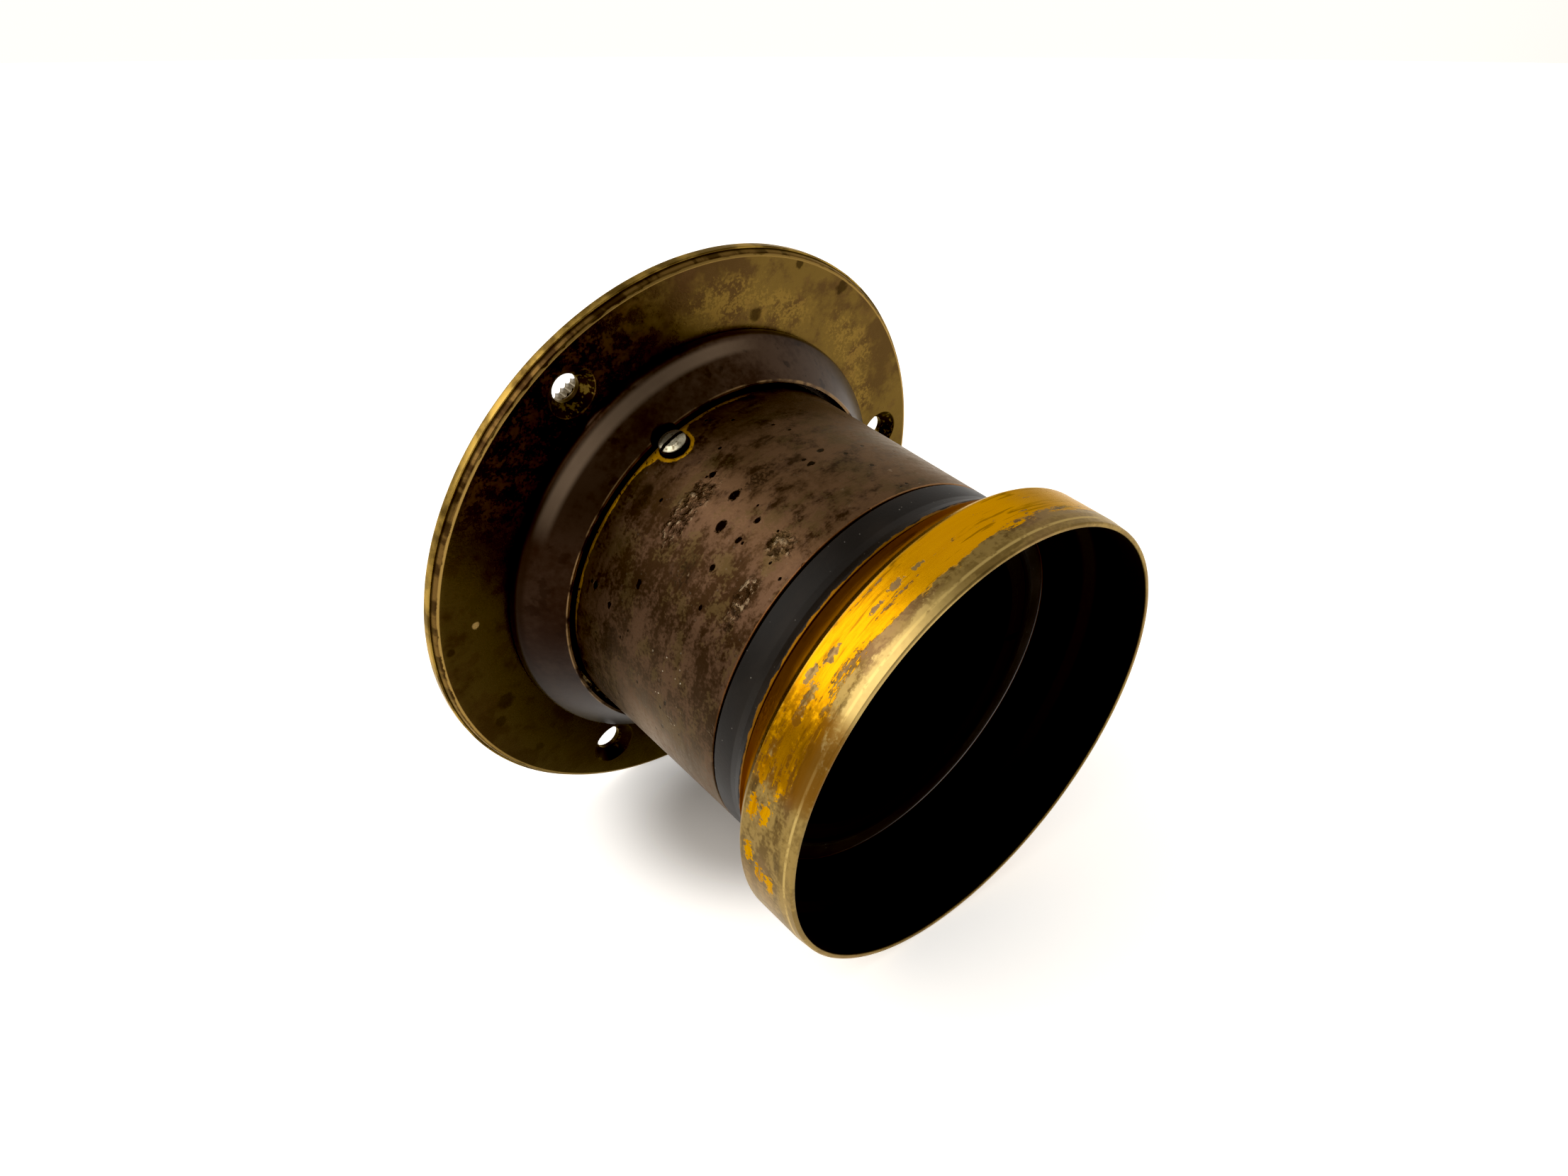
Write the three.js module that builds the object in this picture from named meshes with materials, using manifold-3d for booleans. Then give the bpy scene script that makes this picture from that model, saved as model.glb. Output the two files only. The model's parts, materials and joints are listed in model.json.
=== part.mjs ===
// Brass enlarger lens: a screw-on mounting flange, a bronzed barrel that passes through it, a blackened
// front cell with a wide hood, and a rear cell with a milled rim. Units are millimetres, +Z is up.
//
// The lens lies on its side. It rests on the rim of its flange and on the rim of its narrower hood, so its
// nose points down a little towards -Y. Every piece is turned about the lens axis: its profile is a list of
// [radius, y] points, with y measured along the axis from the flange's front face, positive to the front.

import * as THREE from 'three';
import { mergeVertices } from 'three/addons/utils/BufferGeometryUtils.js';
import Module from 'manifold-3d';

const wasm = await Module();
wasm.setup();

// ---------------------------------------------------------------- driving dimensions

const FLANGE_R = 43.0;          // the largest radius, at the flange's lip
const FLANGE_THICK = 2.3;
const LIP_THICK = 1.3;          // the lip round the back of the flange's edge
const BORE_R = 27.0;            // bore of the flange and of its collar
const BARREL_R = 26.2;          // outside of the barrel
const BARREL_WALL = 1.4;
const BARREL_FRONT = 36.0;
const BARREL_REAR = -10.1;
const COLLAR_BASE_R = 32.0;
const COLLAR_FRONT_R = 27.3;
const COLLAR_HEIGHT = 6.8;
const HOOD_BACK = 42.8;         // where the hood's shoulder leaves the black front cell
const HOOD_RIDGE = 46.9;        // where the shoulder meets the hood's outside
const HOOD_FRONT = 55.8;
const HOOD_EDGE = 55.4;         // where the bevel of its mouth starts
const HOOD_R = 31.35;
const HOOD_BORE_R = 30.5;
const CELL_SPIGOT_R = 24.5;     // the cells' spigots, screwed into the barrel
const GLASS_BORE_R = 23.3;
const GLASS_R = 23.0;
const RIM_R = 27.7;             // milled rim of the rear cell
const RIM_FRONT = -10.4;
const RIM_REAR = -12.9;
const FIT = 0.3;                // gap between pieces that turn in each other or rest on each other
const SEAT = 0.2;               // gap between pieces of one rigid group
const DOME_CLEAR = 0.7;         // from the edge of a glass to the foot of the ring that holds it

const HOLE_CIRCLE_R = 36.4;
const HOLE_R = 1.95;
const COUNTERSINK_R = 3.5;
const HOLE_ANGLES = [-40.2, 75.6, 200.7]; // degrees about the axis, from the top towards +X

const SCREW_ANGLE = -31.5;      // degrees about the axis, as above
const SCREW_Y = 8.6;
const SCREW_HEAD_R = 2.1;
const SCREW_SHANK_R = 1.0;
const NOTCH_R = 2.7;

const TURNED_SIDES = 64;
const GLASS_SIDES = 44;
const MILLING_TEETH = 90;

// The lens rests on facets of the flange's lip and of the hood, which this share of the radius is the
// distance of from the axis.
const FACET_SHARE = Math.cos(Math.PI / TURNED_SIDES);
const LIP_FRONT = LIP_THICK - FLANGE_THICK;
const TILT = Math.atan((FACET_SHARE * (FLANGE_R - HOOD_R)) / (HOOD_EDGE - LIP_FRONT));

// ---------------------------------------------------------------- materials

const finish = (color, roughness, metalness, more = {}) =>
  new THREE.MeshStandardMaterial({ color, roughness, metalness, ...more });

const agedBrass = finish(0x6b5a2c, 0.45, 1.0);
const collarPatina = finish(0x54443b, 0.5, 0.9);
const bronzedBrown = finish(0x57443a, 0.5, 0.8);
const nickel = finish(0xb9b4a6, 0.35, 1.0);
const blackEnamel = finish(0x2c2a28, 0.5, 0.1);
const goldLacquer = finish(0xd49a20, 0.3, 1.0);
const bareBrass = finish(0xa58b52, 0.4, 1.0);
const flatBlack = finish(0x121211, 0.8, 0.0);
const crownGlass = finish(0xeef4f2, 0.03, 0.0, { transparent: true, opacity: 0.35 });
const flintGlass = finish(0xf4f1e6, 0.03, 0.0, { transparent: true, opacity: 0.35 });

// ---------------------------------------------------------------- shapes

// A profile must run counter-clockwise, up the outside and down the inside, for its faces to point out.
function signedArea(profile) {
  return profile.reduce((sum, [x, y], i) => {
    const [nextX, nextY] = profile[(i + 1) % profile.length];
    return sum + (x * nextY - nextX * y) / 2;
  }, 0);
}

// Turns a closed profile about the y axis. A facet, not an edge, faces the ground.
function turned(profile, sides = TURNED_SIDES) {
  const ordered = signedArea(profile) > 0 ? profile : [...profile].reverse();
  const onAxis = ordered.filter(([radius]) => radius === 0).length > 1;
  const outline = onAxis ? startOnAxis(ordered) : [...ordered, ordered[0]];
  const points = outline.map(([radius, y]) => new THREE.Vector2(radius, y));
  return merged(new THREE.LatheGeometry(points, sides, Math.PI / sides, Math.PI * 2));
}

// Rotates a solid piece's profile so that it starts at its lower point on the axis and ends at its upper one.
function startOnAxis(profile) {
  const axial = profile.map(([radius, y], i) => ({ radius, y, i })).filter(({ radius }) => radius === 0);
  const lower = axial.reduce((a, b) => (a.y < b.y ? a : b)).i;
  return [...profile.slice(lower), ...profile.slice(0, lower)];
}

function merged(geometry) {
  const bare = geometry.index ? geometry.toNonIndexed() : geometry;
  bare.deleteAttribute('normal');
  bare.deleteAttribute('uv');
  const joined = mergeVertices(bare, 1e-5);
  const { array } = joined.index;
  const kept = [];
  for (let i = 0; i < array.length; i += 3) {
    const [a, b, c] = array.subarray(i, i + 3);
    if (a !== b && b !== c && c !== a) kept.push(a, b, c);
  }
  joined.setIndex(kept);
  return joined;
}

function toSolid(geometry) {
  const { position } = geometry.attributes;
  return new wasm.Manifold(new wasm.Mesh({
    numProp: 3,
    vertProperties: new Float32Array(position.array),
    triVerts: new Uint32Array(geometry.index.array),
  }));
}

function toGeometry(solid) {
  const mesh = solid.getMesh();
  const geometry = new THREE.BufferGeometry();
  geometry.setAttribute('position', new THREE.BufferAttribute(new Float32Array(mesh.vertProperties), 3));
  geometry.setIndex(new THREE.BufferAttribute(new Uint32Array(mesh.triVerts), 1));
  return geometry;
}

const cut = (geometry, tools) =>
  toGeometry(tools.reduce((solid, tool) => solid.subtract(toSolid(tool)), toSolid(geometry)));
const join = (...geometries) => toGeometry(geometries.map(toSolid).reduce((a, b) => a.add(b)));

// A quarter-round from one profile point to another, bulging away from the point `centre`.
function arcPoints([x0, y0], [x1, y1], [cx, cy], steps) {
  const start = Math.atan2(y0 - cy, x0 - cx);
  let sweep = Math.atan2(y1 - cy, x1 - cx) - start;
  if (sweep > Math.PI) sweep -= Math.PI * 2;
  if (sweep < -Math.PI) sweep += Math.PI * 2;
  const r0 = Math.hypot(x0 - cx, y0 - cy);
  const r1 = Math.hypot(x1 - cx, y1 - cy);
  return Array.from({ length: steps + 1 }, (_, i) => {
    const t = i / steps;
    const r = r0 + (r1 - r0) * t;
    return [cx + r * Math.cos(start + sweep * t), cy + r * Math.sin(start + sweep * t)];
  });
}

// A spherical lens surface from the edge to the axis: `edgeY` is its height at the edge, and a positive
// `bulge` domes it towards the front.
function opticalSurface(edgeY, curveR, bulge, steps = 4) {
  const drop = (radius) => curveR - Math.sqrt(curveR ** 2 - radius ** 2);
  return Array.from({ length: steps + 1 }, (_, i) => {
    const radius = GLASS_R * (1 - i / steps);
    return [radius, edgeY + bulge * (drop(GLASS_R) - drop(radius))];
  });
}

// A glass element, from its rear and front surfaces, each a list from the edge to the axis.
const glassElement = (rear, front) => turned([...[...rear].reverse(), ...front], GLASS_SIDES);

// Turns a shape built along +Y so that it points outwards through the barrel at an angle from the top.
function radialPlacement(geometry, angleDeg, y, radius = 0) {
  const angle = THREE.MathUtils.degToRad(angleDeg);
  return merged(geometry.clone()
    .translate(0, radius, 0)
    .rotateX(-Math.PI / 2)
    .rotateY(-angle)
    .translate(0, y, 0));
}

const rod = (radius, from, to, sides) =>
  merged(new THREE.CylinderGeometry(radius, radius, to - from, sides).translate(0, (from + to) / 2, 0));

// ---------------------------------------------------------------- the mounting flange and its collar

const LEDGE_R = FLANGE_R - 0.3;
const BAND_R = FLANGE_R - 0.55;
const FACE_R = FLANGE_R - 1.0;

function flangeGeometry() {
  const plate = turned([
    [FLANGE_R, -FLANGE_THICK],
    [FLANGE_R, LIP_FRONT],
    [LEDGE_R, LIP_FRONT],
    [BAND_R, -0.25],
    [FACE_R, 0],
    [BORE_R, 0],
    [BORE_R, -FLANGE_THICK],
  ]);
  const drill = turned([
    [0, -FLANGE_THICK - 1],
    [HOLE_R, -FLANGE_THICK - 1],
    [HOLE_R, HOLE_R - COUNTERSINK_R],
    [COUNTERSINK_R + 1, 1],
    [0, 1],
  ], 20);
  const drills = HOLE_ANGLES.map((degrees) => {
    const angle = THREE.MathUtils.degToRad(degrees);
    return drill.clone().translate(HOLE_CIRCLE_R * Math.sin(angle), 0, -HOLE_CIRCLE_R * Math.cos(angle));
  });
  return cut(plate, drills);
}

// The collar's outside is a short wall, a rounded shoulder and a cone that narrows to a thin front edge.
function collarGeometry() {
  const wallTop = [COLLAR_BASE_R, 0.9];
  const coneFoot = [COLLAR_BASE_R - 0.75, 1.9];
  const ring = turned([
    [BORE_R, SEAT],
    [COLLAR_BASE_R, SEAT],
    ...arcPoints(wallTop, coneFoot, [COLLAR_BASE_R - 1.3, 0.7], 3),
    [COLLAR_FRONT_R, COLLAR_HEIGHT],
    [BORE_R, COLLAR_HEIGHT],
  ]);
  const notch = radialPlacement(rod(NOTCH_R, BARREL_R - 1, COLLAR_BASE_R + 2, 24), SCREW_ANGLE, SCREW_Y);
  return cut(ring, [notch]);
}

// The raised ring round the barrel that carries its thread in the flange.
const threadRingGeometry = () => turned([
  [BARREL_R + SEAT / 2, -FLANGE_THICK + 0.3],
  [BORE_R - SEAT, -FLANGE_THICK + 0.3],
  [BORE_R - SEAT, 4.6],
  [BARREL_R + SEAT / 2, 4.6],
]);

// ---------------------------------------------------------------- the barrel and what is fixed in it

const screwHole = (radius) => radialPlacement(rod(radius, 20, BARREL_R + 2, 16), SCREW_ANGLE, SCREW_Y);

function barrelGeometry() {
  const inner = BARREL_R - BARREL_WALL;
  const tube = turned([
    [BARREL_R, BARREL_REAR],
    [BARREL_R, BARREL_FRONT],
    [inner, BARREL_FRONT],
    [inner, BARREL_REAR],
  ]);
  return cut(tube, [screwHole(SCREW_SHANK_R + FIT)]);
}

// A blackened sleeve whose rear web is the lens's fixed stop. The locking screw holds it.
const STOP_OUTER_R = BARREL_R - BARREL_WALL - SEAT;
const STOP_APERTURE_R = 16.5;
const STOP_REAR = 3.6;

function stopRingGeometry() {
  const wall = 1.6;
  const web = 1.0;
  const front = 13.0;
  const ring = turned([
    [STOP_OUTER_R, STOP_REAR],
    [STOP_OUTER_R, front],
    [STOP_OUTER_R - wall, front],
    [STOP_OUTER_R - wall, STOP_REAR + web],
    [STOP_APERTURE_R + 0.6, STOP_REAR + web],
    [STOP_APERTURE_R, STOP_REAR],
  ]);
  return cut(ring, [screwHole(SCREW_SHANK_R + FIT)]);
}

// A slotted cheese-head screw. Its head stands on the barrel and its shank reaches into the stop ring.
function lockingScrewGeometry() {
  const seat = BARREL_R + FIT;
  const top = seat + 0.95;
  const tip = STOP_OUTER_R - 1.4;
  const body = turned([
    [0, tip],
    [SCREW_SHANK_R, tip],
    [SCREW_SHANK_R, seat],
    [SCREW_HEAD_R, seat],
    [SCREW_HEAD_R, top - 0.3],
    [SCREW_HEAD_R * 0.6, top - 0.06],
    [0, top],
  ], 20);
  const slot = merged(new THREE.BoxGeometry(SCREW_HEAD_R * 3, 1.1, 0.55).translate(0, top + 0.1, 0));
  return radialPlacement(cut(body, [slot]), SCREW_ANGLE, SCREW_Y);
}

// ---------------------------------------------------------------- the front cell, its glass and the hood

const CELL_REAR = 31.4;
const NOSE_R = 26.3;            // the front cell's nose, inside the hood
const NOSE_FRONT = 42.3;

function frontCellGeometry() {
  return turned([
    [CELL_SPIGOT_R, CELL_REAR],
    [CELL_SPIGOT_R, BARREL_FRONT + FIT],
    [BARREL_R, BARREL_FRONT + FIT],
    [BARREL_R, BARREL_FRONT + 3.4],
    [BARREL_R + 0.25, BARREL_FRONT + 4.6],
    [BARREL_R + 0.75, BARREL_FRONT + 5.7],
    [HOOD_THROAT_R - SEAT, NOSE_FRONT - SEAT],
    [NOSE_R - 0.3, NOSE_FRONT],
    [GLASS_BORE_R + SEAT, NOSE_FRONT],
    [GLASS_BORE_R, NOSE_FRONT - 0.4],
    [GLASS_BORE_R, CELL_REAR + 1],
    [GLASS_BORE_R - 1.8, CELL_REAR + 1],
    [GLASS_BORE_R - 1.8, CELL_REAR],
  ]);
}

const HOOD_THROAT_R = 27.1;     // outside of the shoulder where it meets the front cell

// The hood: a cove that opens from the front cell out to a thin straight-sided cup.
function hoodGeometry() {
  const wall = HOOD_R - HOOD_BORE_R;
  const outerFoot = [HOOD_THROAT_R + 0.5, HOOD_BACK];
  const ridge = [HOOD_R - 0.35, HOOD_RIDGE];
  return turned([
    outerFoot,
    [HOOD_THROAT_R + 1.75, HOOD_BACK + 1.9],
    ridge,
    [HOOD_R, HOOD_RIDGE + 0.5],
    [HOOD_R, HOOD_EDGE],
    [HOOD_R - wall / 2, HOOD_FRONT],
    [HOOD_BORE_R, HOOD_FRONT],
    [HOOD_BORE_R, HOOD_RIDGE + 0.9],
    [HOOD_THROAT_R + 1.1, HOOD_BACK + 2.4],
    [NOSE_R - 0.5, HOOD_BACK + 0.9],
    [NOSE_R - 0.5, NOSE_FRONT + SEAT],
    [HOOD_THROAT_R, NOSE_FRONT + SEAT],
  ]);
}

// A threaded ring with two slots in its face for a spanner. `face` is 1 to face the front, -1 the rear.
function retainingRingGeometry(back, front, face) {
  const outer = GLASS_BORE_R - SEAT;
  const inner = outer - 2.0;
  const bevel = 0.5;
  const [shut, open] = face > 0 ? [back, front] : [front, back];
  const ring = turned([
    [outer, shut],
    [outer, open],
    [inner + bevel, open],
    [inner, open - face * bevel],
    [inner, shut],
  ]);
  const slot = merged(new THREE.BoxGeometry(outer * 3, 1.2, 1.1).translate(0, open, 0));
  return cut(ring, [slot]);
}

const FRONT_GLASS_EDGE = 39.9;
const CEMENT_EDGE = 38.4;
const FRONT_CURVE_R = 90;
const CEMENT_CURVE_R = 60;

const frontCrownGeometry = () => glassElement(
  opticalSurface(CEMENT_EDGE + SEAT / 2, CEMENT_CURVE_R, -1),
  opticalSurface(FRONT_GLASS_EDGE, FRONT_CURVE_R, 1),
);
const frontFlintGeometry = () => glassElement(
  [[GLASS_R, CELL_REAR + 1 + SEAT], [0, CELL_REAR + 1 + SEAT]],
  opticalSurface(CEMENT_EDGE - SEAT / 2, CEMENT_CURVE_R, -1),
);

// ---------------------------------------------------------------- the rear cell and its glass

const REAR_SEAT = -3.8;         // the lip that the rear glass bears on

// The milled rim: straight teeth of a shallow triangular section, cut along the axis.
function milledRimGeometry() {
  const outline = new THREE.Shape();
  const depth = 0.5;
  for (let i = 0; i < MILLING_TEETH * 2; i += 1) {
    const angle = (i * Math.PI) / MILLING_TEETH;
    const radius = i % 2 ? RIM_R - depth : RIM_R;
    outline[i ? 'lineTo' : 'moveTo'](radius * Math.cos(angle), radius * Math.sin(angle));
  }
  outline.closePath();
  const opening = new THREE.Path();
  opening.absarc(0, 0, RIM_R - 1.6, 0, Math.PI * 2, true);
  outline.holes.push(opening);
  const thickness = RIM_FRONT - RIM_REAR - 0.8;
  const rim = new THREE.ExtrudeGeometry(outline, { depth: thickness, bevelEnabled: false, curveSegments: 24 });
  return merged(rim.rotateX(-Math.PI / 2).translate(0, RIM_REAR + 0.4, 0));
}

function rearCellGeometry() {
  const lip = GLASS_BORE_R - 1.8;
  const body = turned([
    [CELL_SPIGOT_R, RIM_FRONT],
    [CELL_SPIGOT_R, REAR_SEAT + 1],
    [lip, REAR_SEAT + 1],
    [lip, REAR_SEAT],
    [GLASS_BORE_R, REAR_SEAT],
    [GLASS_BORE_R, RIM_REAR + 0.4],
    [GLASS_BORE_R + 0.4, RIM_REAR],
    [RIM_R - 1.0, RIM_REAR],
    [RIM_R - 0.6, RIM_REAR + 0.4],
    [RIM_R - 0.6, RIM_FRONT - 0.4],
    [RIM_R - 1.0, RIM_FRONT],
  ]);
  return join(body, milledRimGeometry());
}

const REAR_FLINT_EDGE = REAR_SEAT - DOME_CLEAR;
const REAR_FLINT_BACK = -8.9;
const REAR_CROWN_EDGE = -9.9;
const REAR_CROWN_BACK = -10.9;

const rearFlintGeometry = () => glassElement(
  opticalSurface(REAR_FLINT_BACK, 45, 1),
  opticalSurface(REAR_FLINT_EDGE, 80, 1),
);
const rearCrownGeometry = () => glassElement(
  opticalSurface(REAR_CROWN_BACK, 150, -1),
  opticalSurface(REAR_CROWN_EDGE, 60, 1),
);

// It keeps the two rear elements apart. It bears on their edges only.
const rearSpacerGeometry = () => turned([
  [GLASS_R, REAR_CROWN_EDGE + SEAT],
  [GLASS_R, REAR_FLINT_BACK - SEAT],
  [GLASS_R - 0.8, REAR_FLINT_BACK - SEAT],
  [GLASS_R - 0.8, REAR_CROWN_EDGE + SEAT + 0.3],
  [GLASS_R - 0.4, REAR_CROWN_EDGE + SEAT],
]);

// ---------------------------------------------------------------- assembly

const pieces = [
  ['mounting_flange', flangeGeometry(), agedBrass],
  ['flange_collar', collarGeometry(), collarPatina],
  ['barrel_thread_ring', threadRingGeometry(), bareBrass],
  ['barrel_tube', barrelGeometry(), bronzedBrown],
  ['locking_screw', lockingScrewGeometry(), nickel],
  ['stop_ring', stopRingGeometry(), flatBlack],
  ['front_cell', frontCellGeometry(), blackEnamel],
  ['lens_hood', hoodGeometry(), goldLacquer],
  ['front_retaining_ring', retainingRingGeometry(FRONT_GLASS_EDGE + DOME_CLEAR, 41.9, 1), flatBlack],
  ['front_crown_element', frontCrownGeometry(), crownGlass],
  ['front_flint_element', frontFlintGeometry(), flintGlass],
  ['rear_cell', rearCellGeometry(), bareBrass],
  ['rear_flint_element', rearFlintGeometry(), flintGlass],
  ['rear_spacer_ring', rearSpacerGeometry(), flatBlack],
  ['rear_crown_element', rearCrownGeometry(), crownGlass],
  ['rear_retaining_ring', retainingRingGeometry(-12.6, REAR_CROWN_BACK - DOME_CLEAR, -1), flatBlack],
];

// The lens axis, +y in the profiles, points to -Y and down by the tilt.
const lens = new THREE.Group();
lens.rotation.x = Math.PI + TILT;
for (const [name, geometry, material] of pieces) {
  const mesh = new THREE.Mesh(geometry, material);
  mesh.name = name;
  lens.add(mesh);
}

// The box round the lens is centred on the origin in X and Y and stands on z = 0.
const box = new THREE.Box3().setFromObject(lens, true);
const middle = box.getCenter(new THREE.Vector3());
lens.position.set(-middle.x, -middle.y, -box.min.z);

const part = new THREE.Group();
part.add(lens);

export default part;
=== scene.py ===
"""The looks of a brass enlarger lens that lies on its side on a white sweep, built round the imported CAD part.

Lengths here are in millimetres. A turned piece is a profile of (radius, y) points, where y runs along the
lens axis from the front face of the flange; a third number in a point rounds that corner. An angle about
the axis is in degrees from the top towards +X. A piece is built in the lens's own axes, across, up and along
it, and its mesh is then put where the lens lies.
"""

import json
import math

import bpy
from mathutils import Matrix, Vector, noise


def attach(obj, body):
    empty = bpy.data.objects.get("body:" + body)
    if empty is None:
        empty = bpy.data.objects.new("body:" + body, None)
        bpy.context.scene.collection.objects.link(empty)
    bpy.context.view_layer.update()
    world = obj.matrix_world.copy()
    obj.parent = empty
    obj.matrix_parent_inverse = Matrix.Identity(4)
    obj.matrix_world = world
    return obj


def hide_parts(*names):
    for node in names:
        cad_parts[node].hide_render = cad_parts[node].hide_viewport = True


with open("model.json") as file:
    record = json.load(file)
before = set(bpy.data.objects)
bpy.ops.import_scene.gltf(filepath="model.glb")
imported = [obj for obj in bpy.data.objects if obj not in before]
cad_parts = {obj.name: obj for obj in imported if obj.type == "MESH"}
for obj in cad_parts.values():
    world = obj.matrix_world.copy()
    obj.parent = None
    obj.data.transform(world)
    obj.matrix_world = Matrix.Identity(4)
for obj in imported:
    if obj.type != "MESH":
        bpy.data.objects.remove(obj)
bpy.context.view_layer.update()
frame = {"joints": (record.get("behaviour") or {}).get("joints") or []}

# ------------------------------------------------------------ where the lens is, from the CAD part

joint = {j["name"]: j for j in frame["joints"]}
ORIGIN = Vector(joint["front_cell_turn"]["pos_m"])       # centre of the flange's front face, in metres
AXIS = Vector(joint["front_cell_turn"]["axis"]).normalized()
ACROSS = Vector((1, 0, 0))
UP = AXIS.cross(ACROSS)
LENS = Matrix.Translation(ORIGIN) @ Matrix((ACROSS, UP, AXIS)).transposed().to_4x4()
TURNED_SIDES = 64
FACET_SHARE = math.cos(math.pi / TURNED_SIDES)           # the CAD part's facets lie inside its radii

# ------------------------------------------------------------ driving dimensions

FLANGE_R, FLANGE_THICK, LIP_THICK = 43.0 * FACET_SHARE, 2.3, 1.3
LIP_FRONT = LIP_THICK - FLANGE_THICK
BORE_R = 27.0
BARREL_R, BARREL_WALL, BARREL_FRONT, BARREL_REAR = 26.2, 1.4, 36.0, -10.1
COLLAR_BASE_R, COLLAR_FRONT_R, COLLAR_HEIGHT = 32.0, 27.3, 6.8
HOOD_BACK, HOOD_RIDGE, HOOD_EDGE, HOOD_FRONT = 42.8, 46.9, 55.4, 55.8
HOOD_R, HOOD_BORE_R, HOOD_THROAT_R = 31.35 * FACET_SHARE, 30.5, 27.1
CELL_REAR, NOSE_R, NOSE_FRONT = 31.4, 26.3, 42.3
CELL_SPIGOT_R, GLASS_BORE_R, GLASS_R = 24.5, 23.3, 23.0
GLASS_SHOULDER_R = GLASS_BORE_R - 1.8                    # the ledge that a glass rests on
RIM_R, RIM_FRONT, RIM_REAR, RIM_DEPTH = 27.7, -10.4, -12.9, 0.5              # the rear cell's milled rim
FIT, SEAT = 0.3, 0.2                                     # the gaps left between mating pieces
HOLE_ANGLES, HOLE_CIRCLE_R, HOLE_R, COUNTERSINK_R = (-40.2, 75.6, 200.7), 36.4, 1.95, 3.5
SCREW_ANGLE, SCREW_Y, SCREW_HEAD_R, SCREW_SHANK_R, NOTCH_R = -31.5, 8.6, 1.9, 1.0, 2.7
SCREW_HEAD_HEIGHT, SCREW_REACH, SLOT_WIDTH, SLOT_DEPTH = 0.95, 1.4, 0.55, 0.45
MILLING_TEETH = 180
THREAD_RING_R, THREAD_RING_REAR, THREAD_RING_FRONT = 26.8, -2.0, 4.6
STOP_REAR, STOP_FRONT, STOP_PLATE, STOP_R = 3.6, 13.0, 1.0, 16.5
REAR_SHOULDER_BACK, REAR_SHOULDER_FRONT = -3.8, -2.8
RING_SHUT, RING_OPENED = {"front": 40.6, "rear": -11.6}, {"front": 41.9, "rear": -12.6}

# where the surfaces of the glasses meet their edges, and their radii of curvature
FRONT_FLINT_REAR, CEMENTED_REAR, CEMENTED_FRONT, FRONT_CROWN_FRONT = 32.6, 38.3, 38.5, 39.9
REAR_CROWN_REAR, REAR_CROWN_FRONT, REAR_FLINT_REAR, REAR_FLINT_FRONT = -10.9, -9.9, -8.9, -4.5
CEMENTED_CURVE_R, FRONT_CURVE_R = 60.0, 90.0
CROWN_REAR_CURVE_R, CROWN_FRONT_CURVE_R, FLINT_REAR_CURVE_R, FLINT_FRONT_CURVE_R = 150.0, 60.0, 45.0, 80.0

# ------------------------------------------------------------ meshes

SHARP_ANGLE = math.radians(32)


def rounded(points, steps=5):
    """A closed profile with each corner that has a third number rounded to that radius."""
    out = []
    for i, point in enumerate(points):
        corner = Vector(point[:2])
        radius = point[2] if len(point) > 2 else 0
        if not radius:
            out.append(tuple(corner))
            continue
        back = Vector(points[i - 1][:2]) - corner
        ahead = Vector(points[(i + 1) % len(points)][:2]) - corner
        half = back.angle(ahead) / 2
        reach = min(radius / math.tan(half), back.length * 0.49, ahead.length * 0.49)
        start, end = corner + back.normalized() * reach, corner + ahead.normalized() * reach
        for k in range(steps + 1):
            t = k / steps
            out.append(tuple(start * (1 - t) ** 2 + corner * 2 * t * (1 - t) + end * t ** 2))
    return out


def densified(points, step):
    """The same closed profile with no two neighbouring points further apart than `step`."""
    out = []
    for i, point in enumerate(points):
        a, b = Vector(point), Vector(points[(i + 1) % len(points)])
        count = max(1, math.ceil((b - a).length / step))
        out += [tuple(a.lerp(b, k / count)) for k in range(count)]
    return out


def shaded(mesh):
    """Smooth shading, with the edges that turn by more than SHARP_ANGLE left sharp."""
    mesh.shade_smooth()
    mesh.set_sharp_from_angle(angle=SHARP_ANGLE)
    return mesh


def mesh_object(name, vertices, faces):
    mesh = bpy.data.meshes.new(name)
    mesh.from_pydata([Vector(v) / 1000 for v in vertices], [], faces)
    mesh.validate()
    shaded(mesh)
    obj = bpy.data.objects.new(name, mesh)
    bpy.context.scene.collection.objects.link(obj)
    return obj


def turned(name, profile, sides=256, shape=None):
    """A profile turned about the lens axis. `shape` moves a point (radius, angle, y) by (dr, dy)."""
    area = sum(a[0] * b[1] - b[0] * a[1] for a, b in zip(profile, profile[1:] + profile[:1]))
    profile = profile if area > 0 else profile[::-1]
    vertices, rings = [], []
    for radius, y in profile:
        if radius < 1e-6:
            rings.append([len(vertices)] * sides)
            vertices.append((0, 0, y))
            continue
        rings.append(list(range(len(vertices), len(vertices) + sides)))
        for k in range(sides):
            angle = 2 * math.pi * k / sides
            dr, dy = shape(radius, angle, y) if shape else (0, 0)
            vertices.append(((radius + dr) * math.sin(angle), (radius + dr) * math.cos(angle), y + dy))
    faces = []
    for lower, upper in zip(rings, rings[1:] + rings[:1]):
        for k in range(sides):
            n = (k + 1) % sides
            corners = dict.fromkeys((lower[k], upper[k], upper[n], lower[n]))
            if len(corners) > 2:
                faces.append(tuple(corners))
    return mesh_object(name, vertices, faces)


def block(name, size, centre):
    half = Vector(size) / 2
    corners = [Vector(centre) + Vector((x * half.x, y * half.y, z * half.z))
               for x in (-1, 1) for y in (-1, 1) for z in (-1, 1)]
    faces = [(0, 1, 3, 2), (4, 6, 7, 5), (0, 4, 5, 1), (2, 3, 7, 6), (0, 2, 6, 4), (1, 5, 7, 3)]
    return mesh_object(name, corners, faces)


def moved(obj, matrix):
    obj.data.transform(matrix)
    return obj


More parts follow.
